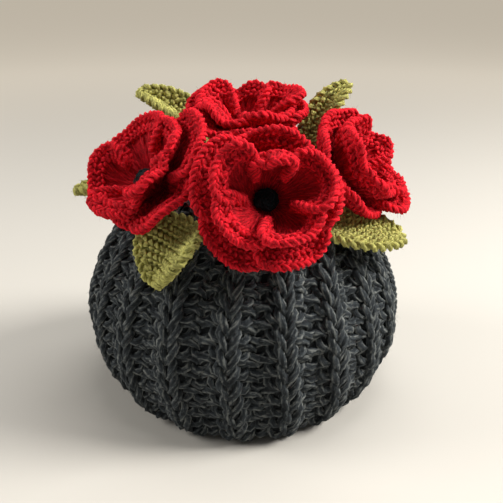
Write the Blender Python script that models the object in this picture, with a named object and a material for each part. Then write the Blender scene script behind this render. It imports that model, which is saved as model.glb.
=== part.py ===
"""Knitted tea cosy with crocheted poppies and knitted leaves, in metres, +Z up.

The cosy stands on its hem at z = 0, its front towards -Y, its handle slit towards -X and its spout slit
towards +X. The body is two panels of rib, each cast on at the hem and drawn in at the crown, sewn
together at the two sides above and below the slits. Every poppy is an outer and an inner round of five
petals with a button at its eye. The leaves are sewn on between the poppies.
"""

import math

import bmesh
import bpy
from mathutils import Vector

# ---- body: two panels of knit-one purl-two rib ----
RIDGE_RADIUS = 0.086  # of the widest round, over the ribs
HEM_RADIUS_X = 0.062  # the side seams pull the hem in
HEM_RADIUS_Y = 0.075
WIDEST_Z = 0.048
CROWN_Z = 0.131
CROWN_RADIUS = 0.006  # of the drawn-in hole at the crown
FABRIC = 0.0065  # from the inside to the bottom of the grooves
RIB_DEPTH = 0.0035
RIB_POWER = 1.3  # above 1, a rib is narrower than the groove beside it
RIB_FADE = 0.35  # a rib's depth at the crown, as a share of its full depth
LOWER_POWER = 1.45  # roundness of the profile below and above the widest round
UPPER_POWER = 1.15
RIBS = 9  # in each panel
STITCHES_A_RIB = 3  # one knit, two purl
LOWER_ROWS = 5  # facets between the hem and the widest round
UPPER_ROWS = 10
SEAM_GAP = 0.0003

# ---- slits, as half widths along the widest round ----
HANDLE_SLIT = {"low": 0.026, "high": 0.112, "half": 0.0085}
SPOUT_SLIT = {"low": 0.022, "high": 0.098, "half": 0.0150}
SLIT_POWER = 0.75  # below 1, a slit's ends are blunter than a lens's

# ---- poppies and leaves ----
CLOTH = 0.003  # thickness of a petal or leaf
ROOT_RADIUS = {"outer": 0.0072, "inner": 0.0052}  # of the hole that a round starts from
STEPS_ALONG = 3
PETAL_STEPS = (-1.0, -0.9, -0.62, -0.22, 0.22, 0.62, 0.9)  # across one petal, from notch to notch
NOTCH = 0.66  # a notch's depth, as a share of the petals beside it
LOBE_POWER = 2.6
BUTTON_RADIUS = 0.0062
BUTTON_HEIGHT = 0.0050

# One row for each poppy. root: where its outer round is sewn; azimuth and rise: the way it faces;
# inner: from the outer round up to the inner one; eye: from the inner round up to the button.
POPPY_COLUMNS = ("root", "azimuth", "rise", "inner", "eye")
POPPIES = {
    "front": ((0.0100, -0.0508, 0.1148), 4, 35, 0.0034, 0.0051),
    "left": ((-0.0432, -0.0282, 0.1175), -40, 38, 0.0038, 0.0048),
    "top": ((0.0020, 0.0000, 0.1330), 4, 74, 0.0038, 0.0046),
    "right": ((0.0424, -0.0192, 0.1170), 60, 42, 0.0040, 0.0066),
}

# One row for each petal. clock: degrees clockwise from the top as the poppy is faced; length: metres from
# the root; rise and tip: degrees above the poppy's own plane at the root and at the rim; trough: how far
# the sides stand up; wave: how far the rim ripples, in metres.
PETAL_COLUMNS = ("clock", "length", "rise", "tip", "trough", "wave")
PETALS = {
    "front_outer": (
        (2, 0.031, 34, 60, 0.002, 0.001),
        (92, 0.032, 30, 50, 0.002, 0.001),
        (150, 0.030, 34, 12, 0.001, 0.001),
        (224, 0.030, 34, 10, 0.001, 0.001),
        (282, 0.036, 40, 44, 0.002, 0.001),
    ),
    "front_inner": (
        (2, 0.036, 40, 122, 0.001, 0.001),
        (86, 0.034, 31, 60, 0.003, 0.001),
        (146, 0.033, 30, 62, 0.002, 0.001),
        (228, 0.031, 62, 20, 0.001, 0.001),
        (288, 0.035, 54, 58, 0.004, 0.000),
    ),
    "left_outer": (
        (-10, 0.026, 12, 18, 0.002, 0.001),
        (54, 0.040, 32, 30, 0.002, 0.001),
        (108, 0.036, 32, 34, 0.001, 0.001),
        (180, 0.019, 50, -8, 0.001, 0.001),
        (240, 0.024, 30, 29, 0.002, 0.001),
    ),
    "left_inner": (
        (-24, 0.029, 12, 26, 0.002, 0.001),
        (42, 0.031, 34, 40, 0.001, 0.001),
        (94, 0.031, 46, 68, 0.001, 0.001),
        (168, 0.028, 44, 56, 0.001, 0.001),
        (248, 0.026, 20, 44, 0.003, 0.001),
    ),
    "top_outer": (
        (5, 0.024, 36, 40, 0.002, 0.001),
        (88, 0.029, 44, 42, 0.001, 0.000),
        (160, 0.028, 40, 40, 0.001, 0.001),
        (236, 0.031, 46, 42, 0.001, 0.001),
        (286, 0.030, 40, 38, 0.002, 0.001),
    ),
    "top_inner": (
        (0, 0.024, 40, 58, 0.001, 0.001),
        (68, 0.031, 40, 46, 0.003, 0.001),
        (142, 0.027, 54, 48, 0.001, 0.001),
        (228, 0.028, 54, 46, 0.001, 0.001),
        (291, 0.028, 40, 46, 0.003, 0.001),
    ),
    "right_outer": (
        (16, 0.031, 46, 58, 0.002, 0.001),
        (78, 0.031, 38, 48, 0.002, 0.001),
        (136, 0.034, 32, 36, 0.002, 0.001),
        (212, 0.025, 34, 40, 0.001, 0.001),
        (288, 0.027, 44, 50, 0.001, 0.001),
    ),
    "right_inner": (
        (14, 0.029, 58, 74, 0.001, 0.001),
        (80, 0.030, 40, 52, 0.001, 0.001),
        (129, 0.030, 34, 38, 0.001, 0.001),
        (196, 0.028, 44, 60, 0.001, 0.001),
        (264, 0.031, 50, 78, 0.001, 0.001),
    ),
}

# One row for each leaf. root: where its stalk end is sewn; azimuth: the way it points, seen from above,
# clockwise from -Y as the poppies' azimuth; rise: above the horizon at the stalk; droop: how far it bends
# down by its tip; roll: its turn about its own length; fold: how far each half stands up.
LEAF_STEPS_ALONG = 8
LEAF_STEPS_ACROSS = 4
LEAF_END = 0.12  # the least width of a leaf, before the power, at its stalk and tip
LEAF_REACH = 0.985  # where along the leaf its tip stops narrowing
LEAF_BELLY = 0.85  # below 1, a leaf is widest nearer its stalk
LEAF_POWER = 0.55  # below 1, a leaf is fuller than a half wave
LEAF_CREASE = 0.2  # roundness of the crease along the middle, as a share of half the width
LEAVES = {
    "leaf_front_left": {
        "root": (-0.0223, -0.0559, 0.1059), "azimuth": -57, "rise": -33, "droop": 27,
        "roll": -2, "fold": 26, "length": 0.0305, "width": 0.0450,
    },
    "leaf_front_right": {
        "root": (0.0402, -0.0461, 0.1012), "azimuth": 105, "rise": -6, "droop": 8,
        "roll": 25, "fold": 15, "length": 0.038, "width": 0.025,
    },
    "leaf_back_left": {
        "root": (-0.0170, 0.0268, 0.1242), "azimuth": -97, "rise": 52, "droop": 30,
        "roll": -34, "fold": 40, "length": 0.049, "width": 0.023,
    },
    "leaf_back_right": {
        "root": (0.0354, 0.0030, 0.1225), "azimuth": 118, "rise": 90, "droop": 56,
        "roll": 26, "fold": 34, "length": 0.044, "width": 0.0165,
    },
    "leaf_left": {
        "root": (-0.0530, 0.0005, 0.1102), "azimuth": -84, "rise": -2, "droop": 2,
        "roll": 0, "fold": 20, "length": 0.0335, "width": 0.024,
    },
}

COLOURS = {
    "charcoal_wool": (0.045, 0.047, 0.050, 1.0),
    "poppy_wool": (0.560, 0.008, 0.012, 1.0),
    "button_wool": (0.006, 0.010, 0.011, 1.0),
    "leaf_yarn": (0.300, 0.330, 0.080, 1.0),
}


def clear_scene():
    for thing in list(bpy.data.objects):
        bpy.data.objects.remove(thing)


def wool(name):
    """A matt fibre material, made once."""
    if name in bpy.data.materials:
        return bpy.data.materials[name]
    material = bpy.data.materials.new(name)
    material.use_nodes = True
    shader = material.node_tree.nodes["Principled BSDF"]
    shader.inputs["Base Color"].default_value = COLOURS[name]
    shader.inputs["Roughness"].default_value = 0.9
    shader.inputs["Metallic"].default_value = 0.0
    material.diffuse_color = COLOURS[name]
    return material


def add_object(name, mesh_maker, material_name):
    """One named object whose mesh mesh_maker fills in."""
    bm = bmesh.new()
    mesh_maker(bm)
    bmesh.ops.recalc_face_normals(bm, faces=bm.faces)
    mesh = bpy.data.meshes.new(name)
    bm.to_mesh(mesh)
    bm.free()
    mesh.shade_smooth()
    thing = bpy.data.objects.new(name, mesh)
    bpy.context.scene.collection.objects.link(thing)
    mesh.materials.append(wool(material_name))
    return thing


def add_sheet(bm, rows, closed):
    """Faces between rows of points. A closed sheet's rows are rings."""
    made = [[bm.verts.new(p) for p in row] for row in rows]
    for low, high in zip(made, made[1:]):
        count = len(low) if closed else len(low) - 1
        for i in range(count):
            j = (i + 1) % len(low)
            bm.faces.new((low[i], low[j], high[j], high[i]))


def thicken(thing, thickness):
    """Gives a sheet its thickness, half on each side."""
    modifier = thing.modifiers.new("Thickness", "SOLIDIFY")
    modifier.thickness = thickness
    modifier.offset = 0.0
    modifier.use_even_offset = False


# ---- body ----


def profile(share):
    """(how far from hem to widest, how far from widest to crown hole, z) at a share of the rows."""
    rows = LOWER_ROWS + UPPER_ROWS
    row = share * rows
    if row <= LOWER_ROWS:
        turn = row / LOWER_ROWS * math.pi / 2
        return math.sin(turn) ** LOWER_POWER, 0.0, WIDEST_Z * (1 - math.cos(turn))
    turn = (row - LOWER_ROWS) / UPPER_ROWS * math.pi / 2
    rise = (CROWN_Z - WIDEST_Z) * math.sin(turn) ** UPPER_POWER
    return 1.0, 1 - math.cos(turn) ** UPPER_POWER, WIDEST_Z + rise


def ring_radii(share):
    """(radius along X, radius along Y, z) of the ring over the ribs."""
    out, drawn, z = profile(share)
    widest_x = HEM_RADIUS_X + (RIDGE_RADIUS - HEM_RADIUS_X) * out
    widest_y = HEM_RADIUS_Y + (RIDGE_RADIUS - HEM_RADIUS_Y) * out
    return (
        widest_x + (CROWN_RADIUS - widest_x) * drawn,
        widest_y + (CROWN_RADIUS - widest_y) * drawn,
        z,
    )


def outward(share, bearing):
    """The fabric's outward direction. It is level at the hem, so that the hem stands flat."""
    if share == 0.0:
        return Vector((math.sin(bearing), -math.cos(bearing), 0.0))
    step = 0.004
    low = ring_point(max(share - step, 0.0), bearing)
    high = ring_point(min(share + step, 1.0), bearing)
    around = Vector((math.cos(bearing), math.sin(bearing), 0.0))
    return around.cross(high - low).normalized()


def ring_point(share, bearing):
    radius_x, radius_y, z = ring_radii(share)
    return Vector((radius_x * math.sin(bearing), -radius_y * math.cos(bearing), z))


def slit_half_angle(slit, share):
    """Half the opening's angle at this row: a lens between the slit's ends, and a sewn seam past them."""
    radius_x, _, z = ring_radii(share)
    seam = SEAM_GAP / 2 / radius_x
    middle = (slit["low"] + slit["high"]) / 2
    reach = (z - middle) / (slit["high"] - middle)
    if abs(reach) >= 1:
        return seam
    return max(seam, slit["half"] * (1 - reach * reach) ** SLIT_POWER / radius_x)


def rib_height(column):
    """How far the fabric stands out of the grooves at a column counted in stitches."""
    turn = 2 * math.pi * (column - 0.5) / STITCHES_A_RIB
    return RIB_DEPTH * (0.5 + 0.5 * math.cos(turn)) ** RIB_POWER


def panel_point(share, column, first_edge, last_edge, start, inside):
    """A point of a panel. column runs from one side edge to the other, in stitches."""
    columns = RIBS * STITCHES_A_RIB
    low = start + slit_half_angle(first_edge, share)
    high = start + math.pi - slit_half_angle(last_edge, share)
    bearing = low + (high - low) * column / columns
    fade = min(1.0, RIB_FADE + ring_radii(share)[0] / RIDGE_RADIUS)
    depth = RIB_DEPTH + FABRIC if inside else RIB_DEPTH - rib_height(column) * fade
    return ring_point(share, bearing) - outward(share, bearing) * depth


def build_panel(name, first_edge, last_edge, start):
    """One knitted panel, from the seam at bearing start to the seam half a turn on."""
    columns = RIBS * STITCHES_A_RIB
    rows = LOWER_ROWS + UPPER_ROWS
    stops = [0.0] + [c + 0.5 for c in range(columns)] + [float(columns)]

    def fill(bm):
        for inside in (False, True):
            grid = [
                [panel_point(r / rows, c, first_edge, last_edge, start, inside) for c in stops]
                for r in range(rows + 1)
            ]
            add_sheet(bm, grid, closed=False)
        rim = [edge for edge in bm.edges if edge.is_boundary]
        bmesh.ops.bridge_loops(bm, edges=rim)

    return add_object(name, fill, "charcoal_wool")


# ---- poppies ----


def facing(azimuth, rise):
    """Unit vectors of a thing that faces azimuth (clockwise from -Y, seen from above) and rise."""
    a, r = math.radians(azimuth), math.radians(rise)
    ahead = Vector((math.sin(a) * math.cos(r), -math.cos(a) * math.cos(r), math.sin(r)))
    right = Vector((math.cos(a), math.sin(a), 0.0))
    return ahead, right, ahead.cross(right)


def petal_rows(name):
    return [dict(zip(PETAL_COLUMNS, row)) for row in PETALS[name]]


def mix(a, b, share):
    return a + (b - a) * share


def arc_along(rise, tip, share):
    """(outwards, up) reached along a strip of unit length that bends from rise to tip."""
    a, b = math.radians(rise), math.radians(tip)
    if abs(b - a) < 1e-6:
        return math.cos(a) * share, math.sin(a) * share
    c = a + (b - a) * share
    return (math.sin(c) - math.sin(a)) / (b - a), (math.cos(a) - math.cos(c)) / (b - a)


def round_point(petals, root_radius, index, across, along):
    """(outwards, sideways angle, up) of a point on a round of petals.

    across runs from -1 to 1 between the notches beside petal index, along from 0 at the root to 1.
    """
    petal = petals[index]
    beside = petals[(index + (1 if across > 0 else -1)) % len(petals)]
    turn = math.remainder(beside["clock"] - petal["clock"], 360) / 2
    clock = math.radians(petal["clock"] + abs(across) * turn)
    lobe = (1 - abs(across) ** LOBE_POWER) ** (1 / LOBE_POWER)
    body = math.cos(across * math.pi / 2)

    def blended(column):
        return mix((petal[column] + beside[column]) / 2, petal[column], body)

    notch = NOTCH * (petal["length"] + beside["length"]) / 2
    length = mix(notch, petal["length"], lobe)
    out, up = arc_along(blended("rise"), blended("tip"), along)
    stand = blended("trough") * across * across * along
    ripple = blended("wave") * math.sin(2 * math.pi * across) * along * along
    return root_radius + out * length, clock, up * length + stand + ripple


def poppy_frame(poppy, lift):
    ahead, right, top = facing(poppy["azimuth"], poppy["rise"])
    return Vector(poppy["root"]) + ahead * lift, ahead, right, top


def build_round(name, petals, root_radius, poppy, lift):
    """One crocheted round of petals, a dished ring with a notch between each two petals."""
    root, ahead, right, top = poppy_frame(poppy, lift)

    def fill(bm):
        rows = []
        for step in range(STEPS_ALONG + 1):
            row = []
            for index in range(len(petals)):
                for across in PETAL_STEPS:
                    share = step / STEPS_ALONG
                    out, clock, up = round_point(petals, root_radius, index, across, share)
                    flat = top * math.cos(clock) + right * math.sin(clock)
                    row.append(root + flat * out + ahead * up)
            rows.append(row)
        add_sheet(bm, rows, closed=True)

    thicken(add_object(name, fill, "poppy_wool"), CLOTH)


def build_button(name, poppy, lift):
    """The dark crocheted button at a poppy's eye."""
    root, ahead, right, top = poppy_frame(poppy, lift)
    turn = ahead.to_track_quat("Z", "Y").to_matrix().to_4x4()

    def fill(bm):
        bmesh.ops.create_uvsphere(bm, u_segments=10, v_segments=6, radius=1.0)
        for vert in bm.verts:
            x, y, z = vert.co
            vert.co = root + turn @ Vector(
                (x * BUTTON_RADIUS, y * BUTTON_RADIUS, z * BUTTON_HEIGHT / 2)
            )

    add_object(name, fill, "button_wool")


# ---- leaves ----


def leaf_half_width(share):
    """Half a leaf's width as a share of its widest half: narrow at the stalk, blunt at the tip."""
    wave = math.sin(math.pi * min(share, LEAF_REACH) ** LEAF_BELLY)
    return max(LEAF_END, wave) ** LEAF_POWER


def leaf_point(leaf, along, across):
    """A point on a leaf, across from -1 to 1."""
    azimuth = math.radians(leaf["azimuth"])
    level = Vector((math.sin(azimuth), -math.cos(azimuth), 0.0))
    side = Vector((math.cos(azimuth), math.sin(azimuth), 0.0))
    rise = math.radians(leaf["rise"])
    out, up = arc_along(leaf["rise"], leaf["rise"] - leaf["droop"], along)
    middle = Vector(leaf["root"]) + (level * out + Vector((0, 0, up))) * leaf["length"]
    slope = rise - math.radians(leaf["droop"]) * along
    face = Vector((0, 0, math.cos(slope))) - level * math.sin(slope)
    roll = math.radians(leaf["roll"])
    wing = side * math.cos(roll) + face * math.sin(roll)
    face = face * math.cos(roll) - side * math.sin(roll)
    half = leaf["width"] / 2 * leaf_half_width(along)
    fold = math.radians(leaf["fold"])
    stand = math.sqrt(across * across + LEAF_CREASE * LEAF_CREASE) - LEAF_CREASE
    return middle + wing * (across * half * math.cos(fold)) + face * (stand * half * math.sin(fold))


def build_leaf(name, leaf):
    def fill(bm):
        rows = [
            [
                leaf_point(leaf, i / LEAF_STEPS_ALONG, 2 * j / LEAF_STEPS_ACROSS - 1)
                for j in range(LEAF_STEPS_ACROSS + 1)
            ]
            for i in range(LEAF_STEPS_ALONG + 1)
        ]
        add_sheet(bm, rows, closed=False)

    thicken(add_object(name, fill, "leaf_yarn"), CLOTH)


def main():
    clear_scene()
    build_panel("panel_front", HANDLE_SLIT, SPOUT_SLIT, -math.pi / 2)
    build_panel("panel_back", SPOUT_SLIT, HANDLE_SLIT, math.pi / 2)
    for name, row in POPPIES.items():
        poppy = dict(zip(POPPY_COLUMNS, row))
        for which, lift in (("outer", 0.0), ("inner", poppy["inner"])):
            petals = petal_rows(f"{name}_{which}")
            build_round(f"poppy_{name}_{which}", petals, ROOT_RADIUS[which], poppy, lift)
        build_button(f"poppy_{name}_button", poppy, poppy["inner"] + poppy["eye"])
    for name, leaf in LEAVES.items():
        build_leaf(name, leaf)


main()
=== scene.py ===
"""A hand-knitted tea cosy: two ribbed wool panels, four crocheted poppies and five knitted leaves.

Run in Blender 4.5 as a script. Sizes are in metres, and Z is up.
"""

import math

import bpy
import numpy as np
from bpy.props import FloatProperty, FloatVectorProperty, IntProperty, PointerProperty
from bpy.types import Operator, Panel, PropertyGroup
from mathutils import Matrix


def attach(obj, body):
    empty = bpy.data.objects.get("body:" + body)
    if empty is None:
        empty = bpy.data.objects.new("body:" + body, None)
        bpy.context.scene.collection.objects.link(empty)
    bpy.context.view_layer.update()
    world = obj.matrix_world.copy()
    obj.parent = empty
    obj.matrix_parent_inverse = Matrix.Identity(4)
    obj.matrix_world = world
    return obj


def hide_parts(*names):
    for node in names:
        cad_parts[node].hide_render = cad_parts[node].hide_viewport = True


bl_info = {
    "name": "Knitted Tea Cosy",
    "version": (1, 0, 0),
    "blender": (4, 5, 0),
    "location": "View3D > Sidebar > Tea Cosy",
    "description": "Knits a ribbed tea cosy and its leaves, and crochets its poppies",
    "category": "Object",
}

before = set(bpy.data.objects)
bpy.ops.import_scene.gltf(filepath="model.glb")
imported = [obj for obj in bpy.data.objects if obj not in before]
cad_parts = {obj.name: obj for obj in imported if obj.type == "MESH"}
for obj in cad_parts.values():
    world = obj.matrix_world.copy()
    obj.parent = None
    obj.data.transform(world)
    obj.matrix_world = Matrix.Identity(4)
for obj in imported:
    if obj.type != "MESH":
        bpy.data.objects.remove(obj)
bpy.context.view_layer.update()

# ---- the body's profile, as the solids have it ----
RIDGE_RADIUS = 0.086  # of the widest round, over the ribs
HEM_RADIUS_X = 0.062
HEM_RADIUS_Y = 0.075
WIDEST_Z = 0.048
CROWN_Z = 0.131
CROWN_RADIUS = 0.006
RIB_DEPTH = 0.0035
RIB_POWER = 1.3  # above 1, a rib is narrower than the groove beside it
RIB_FADE = 0.35  # about a rib's depth at the crown, as a share of its full depth
LOWER_POWER = 1.45  # roundness of the profile below and above the widest round
UPPER_POWER = 1.15
LOWER_ROWS, UPPER_ROWS = 5, 10
RIBS = 9
SEAM_GAP = 0.0003
HANDLE_SLIT = {"low": 0.026, "high": 0.112, "half": 0.0085}
SPOUT_SLIT = {"low": 0.022, "high": 0.098, "half": 0.0150}
SLIT_POWER = 0.75  # below 1, a slit's ends are blunter than a lens's
PANELS = {
    "panel_front": (HANDLE_SLIT, SPOUT_SLIT, -math.pi / 2),
    "panel_back": (SPOUT_SLIT, HANDLE_SLIT, math.pi / 2),
}

# ---- the body's stitches ----
# Each rib is one knit stitch and its purls, of which the crown's decreases leave fewer. One row for each
# zone: the smallest radius it reaches up to, and its stitches' edges as shares of a rib's width.
ZONES = (
    (0.048, (0.0, 0.3333, 0.6667, 1.0)),
    (0.026, (0.0, 0.42, 1.0)),
    (0.0, (0.0, 1.0)),
)
# How far the tension has drawn each rib's edge along the course, in ribs.
UNEVEN = (0.0, 0.0, 0.0, 0.02, 0.17, 0.22, 0.26, 0.25, 0.14, 0.0)
RIDGE = 1 / 6  # where the knit stitch's middle lies, as a share of a rib's width
ROW_PITCH = 0.0088  # the height of a course
FIRST_ROW = 0.0118  # along the fabric, from the hem to the middle of the first course
LAST_ROW = 0.002  # the least that is left between the last course and the crown
STITCHES_A_RIB = 3
FULL_STITCH = 0.0088  # the width below which a stitch is worked with thinner loops
MOST_CROWDED = 0.5  # the share of that width below which its loops get no thinner
SWAP_START = 0.75  # round a loop, where the yarn starts to pass to the next stitch's face
SWAP_POWER = 1.5
YARN_STEPS = 17  # points in one stitch
COURSE_INSET = 0.9  # from a panel's side edge to the end of a course, in yarn radii
COURSE_SLANT = 0.0011  # how far the purls climb to the right
PURL_SINK = 0.0009  # how far the purls lie behind the knit stitches
YARN_SINK = 0.0002  # how far the yarn lies inside the solid's surface
LOOSENESS = 0.07  # the spread of the loops' widths
STRAY = 0.00035  # the spread of the loops' places in the fabric
STRAY_OUT = 0.6  # and out of it, as a share of that
CAST_ON_PLACE = 0.0045  # along the fabric, from the hem
CAST_ON_DEPTH = 0.0038  # from the round over the ribs
CAST_ON_FOLLOW = 0.85  # how much of a rib's depth the cast-on edge follows
CAST_ON_INSET = 0.004  # from each side edge, as a share of the panel
CAST_ON_TWIST = (0.0017, 0.0016)  # how far it winds out of the fabric and up it
CAST_ON_STEPS = 10  # points in one stitch
CAST_ON_RADIUS = 0.0017
SEAM_DEPTH = 0.0038  # from the round over the ribs in to the middle of a seam
SEAM_WIDTH = 0.0021  # how far a seam's strands swing across it, and off its face
SEAM_SWING = 0.0007
SEAM_STITCH = 0.62  # the length of a seam's stitch, in courses
SEAM_LAP = 0.005  # how far a seam runs on past a slit's end
SEAM_ENDS = 0.0035  # how far the seams stop short of the hem and the crown
SEAM_POINTS = 90
SEAM_RADIUS = 0.0015
SELVEDGE_WIDTH = 0.0017
SELVEDGE_INSET = 0.0012
SELVEDGE_BULGE = 0.0012
GROUND_INSET = 0.0002
GROUND_HEM = 0.0030  # how far the ground stops short of the hem, and of the crown
GROUND_CROWN = 0.0008
GROUND_ROUNDS = 46
GROUND_STEPS = 8  # across a rib
BODY_GROUND = 0.0010  # thickness of the ground under each cloth's yarn, a sheet darkened as painted shade
PETAL_GROUND = 0.0014
LEAF_GROUND = 0.0012

# ---- poppies and leaves: the solids' tables, with the finer shape of the rims added ----
NOTCH = {"outer": 0.40, "inner": 0.30}  # the length at a notch, as a share of the petals beside it
LOBE_POWER = 2.5  # above 2, a petal's rim is squarer than an ellipse
OVERLAP = 0.50  # how far a petal widens past its notches, as a share of its half width
LAP = 0.0045  # how far a petal's clockwise side stands over the next petal
LAP_POWER = 0.7
BODY_POWER = 0.7  # below 1, a petal keeps its own bend nearer its sides
CUP = {"outer": 0.002, "inner": 0.004}  # how far a petal's sides stand up past its trough
RUFFLE = 0.0010  # how far the small waves of a petal's rim stand out
RUFFLE_TURNS = 2.6  # half waves from a petal's middle to its side
RUFFLE_PHASE = 2.1  # from one petal to the next, in radians
RUFFLE_DRIFT = 90  # radians a metre across the cosy, so that no two poppies ruffle alike
BENDS = 16  # steps in which a strip's bend is summed
PETAL_STEPS = (0.2, 0.4, 0.58, 0.74, 0.86, 0.94, 0.985)  # across half a petal, closer by its notch
PETAL_RINGS = 13
PETAL_END = 0.95  # along a petal, where its ground ends under the rim
ROOT_DISC = (0.04, 0.55)  # the rings that close a round's hole, as shares of its radius
RIM_PLACE = 0.97  # along a petal, where its chain edge lies
ROW_PLACE = 0.80  # and where the chain of the row before it shows
ROLL_START = 0.72  # along a petal, where its rim starts to roll
ROOT_RADIUS = {"outer": 0.0072, "inner": 0.0052}
POST_POINTS = 15
POST_END = 0.93  # along a petal, where a treble's post ends under the chain
POST_STARTS = (0.3, 0.65)  # a post's first points, as shares of the hole's radius
POST_SWAY = 0.10  # how far a post sways, as a share of the room it has
SWAY_TURNS = 1.5  # waves along a post, across the petal and off its face
WAVE_TURNS = 2.5
POST_DRAW = 0.04  # how far the posts are drawn together at the root, as a share
POST_STEP = 0.00035  # how far every second post stands out, and the others in
POST_WAVE = 0.00025
POST_ROOT = 0.38  # a post's girth at the root, as a share
FULL_PETAL = 0.030  # the length of petal at which a post has its full girth
POST_SEED = 3
POPPY_COLUMNS = ("root", "azimuth", "rise", "inner", "eye")
POPPIES = {
    "front": ((0.0100, -0.0508, 0.1148), 4, 35, 0.0034, 0.0051),
    "left": ((-0.0432, -0.0282, 0.1175), -40, 38, 0.0038, 0.0048),
    "top": ((0.0020, 0.0000, 0.1330), 4, 74, 0.0038, 0.0046),
    "right": ((0.0424, -0.0192, 0.1170), 60, 42, 0.0040, 0.0066),
}
# clock: degrees clockwise from the poppy's top. rise, tip and roll: degrees off its own plane at the root,
# at the rim, and more at the rim's edge. trough: how far the sides stand up. wave: how far the rim ripples.
PETAL_COLUMNS = ("clock", "length", "rise", "tip", "roll", "trough", "wave")
PETALS = {
    "front_outer": (
        (2, 0.031, 34, 60, -10, 0.002, 0.001),
        (92, 0.032, 30, 50, 0, 0.002, 0.001),
        (150, 0.030, 34, 12, 10, 0.001, 0.001),
        (224, 0.030, 34, 10, 10, 0.001, 0.001),
        (282, 0.036, 40, 44, 0, 0.002, 0.001),
    ),
    "front_inner": (
        (2, 0.036, 40, 122, 50, 0.001, 0.001),
        (86, 0.034, 31, 60, 10, 0.003, 0.001),
        (146, 0.033, 30, 62, 10, 0.002, 0.001),
        (228, 0.031, 62, 20, 10, 0.001, 0.001),
        (288, 0.035, 54, 58, -10, 0.004, 0.000),
    ),
    "left_outer": (
        (-10, 0.026, 12, 18, 0, 0.002, 0.001),
        (54, 0.040, 32, 30, 0, 0.002, 0.001),
        (108, 0.036, 32, 34, 0, 0.001, 0.001),
        (180, 0.019, 50, -8, 0, 0.001, 0.001),
        (240, 0.024, 30, 29, 0, 0.002, 0.001),
    ),
    "left_inner": (
        (-24, 0.029, 12, 26, 10, 0.002, 0.001),
        (42, 0.031, 34, 40, 0, 0.001, 0.001),
        (94, 0.031, 46, 68, -60, 0.001, 0.001),
        (168, 0.028, 44, 56, -50, 0.001, 0.001),
        (248, 0.026, 20, 44, 10, 0.003, 0.001),
    ),
    "top_outer": (
        (5, 0.024, 36, 40, 0, 0.002, 0.001),
        (88, 0.029, 44, 42, 0, 0.001, 0.000),
        (160, 0.028, 40, 40, 0, 0.001, 0.001),
        (236, 0.031, 46, 42, -20, 0.001, 0.001),
        (286, 0.030, 40, 38, 0, 0.002, 0.001),
    ),
    "top_inner": (
        (0, 0.024, 40, 58, 0, 0.001, 0.001),
        (68, 0.031, 40, 46, 0, 0.003, 0.001),
        (142, 0.027, 54, 48, -20, 0.001, 0.001),
        (228, 0.028, 54, 46, -20, 0.001, 0.001),
        (291, 0.028, 40, 46, 0, 0.003, 0.001),
    ),
    "right_outer": (
        (16, 0.031, 46, 58, 0, 0.002, 0.001),
        (78, 0.031, 38, 48, 0, 0.002, 0.001),
        (136, 0.034, 32, 36, 0, 0.002, 0.001),
        (212, 0.025, 34, 40, 0, 0.001, 0.001),
        (288, 0.027, 44, 50, 0, 0.001, 0.001),
    ),
    "right_inner": (
        (14, 0.029, 58, 74, 0, 0.001, 0.001),
        (80, 0.030, 40, 52, 0, 0.001, 0.001),
        (129, 0.030, 34, 38, 0, 0.001, 0.001),
        (196, 0.028, 44, 60, 0, 0.001, 0.001),
        (264, 0.031, 50, 78, 0, 0.001, 0.001),
    ),
}

LEAF_COLUMNS = ("root", "azimuth", "rise", "droop", "roll", "fold", "length", "width")
LEAVES = {
    "leaf_front_left": ((-0.0223, -0.0559, 0.1059), -57, -33, 27, -2, 26, 0.0305, 0.0450),
    "leaf_front_right": ((0.0402, -0.0461, 0.1012), 105, -6, 8, 25, 15, 0.038, 0.025),
    "leaf_back_left": ((-0.0170, 0.0268, 0.1242), -97, 52, 30, -34, 40, 0.049, 0.023),
    "leaf_back_right": ((0.0354, 0.0030, 0.1225), 118, 90, 56, 26, 34, 0.044, 0.0165),
    "leaf_left": ((-0.0530, 0.0005, 0.1102), -84, -2, 2, 0, 20, 0.0335, 0.024),
}

# How a leaf narrows, and how its stitches lie on it.
LEAF_END = 0.12  # the least width, before the power, at its stalk and tip
LEAF_REACH = 0.985  # where along the leaf its tip stops narrowing
LEAF_BELLY = 0.85  # below 1, a leaf is widest nearer its stalk
LEAF_POWER = 0.55  # below 1, a leaf is fuller than a half wave
LEAF_CREASE = 0.2  # roundness of the crease along the middle, as a share of half the width
LEAF_CLOTH = ((0.01, 0.99, 21), (-0.93, 0.93, 13))  # the ground's points along a leaf and across it
RIDGE_PITCH = 0.95  # from one garter ridge to the next, in stitches
RIDGE_REACH = 0.9  # across the leaf, where a ridge ends
RIDGE_BOW = 0.05  # how far a ridge's ends lie past its middle, along the leaf
RIDGE_POINTS = 25
EDGE_REACH = 0.96  # across the leaf, where its looped edge lies
EDGE_POINTS = 60  # along each side
TIP_POINTS = 7  # across each end
MIDRIB_POINTS = 60
MIDRIB_PITCH = 0.0038  # the length of one twist
MIDRIB_SWING = 0.0009  # how far its strands swing across the leaf
MIDRIB_RISE = 0.0009  # how far they lie off it, and how far that varies
MIDRIB_WAVE = 0.0004
MIDRIB_WAVES = 20  # half waves along the leaf

BUTTON_RADIUS = 0.0062  # of the domed face
BUTTON_CROWN = 0.0018  # how far the face domes up, and how far the yarn sinks into it
BUTTON_SINK = 0.0004
BUTTON_START = 0.0004  # the spiral's radius at its start, and how far it reaches out from there
BUTTON_REACH = 0.0049
BUTTON_TURNS = 3.6
BUTTON_SPREAD = 0.62  # spaces the spiral's points about evenly along it
BUTTON_BUMP = 0.00022
BUTTON_BUMPS = 4.5  # bumps in a turn
BUTTON_POINTS = 130
BUTTON_JOIN = 4  # points left out where the back takes over from the front
BUTTON_YARN = 0.00105

PLAIT_STEPS = 6  # points in one stitch of a plait
PLAIT_PASSES = 3  # that smooth a closed plait's corners
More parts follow.
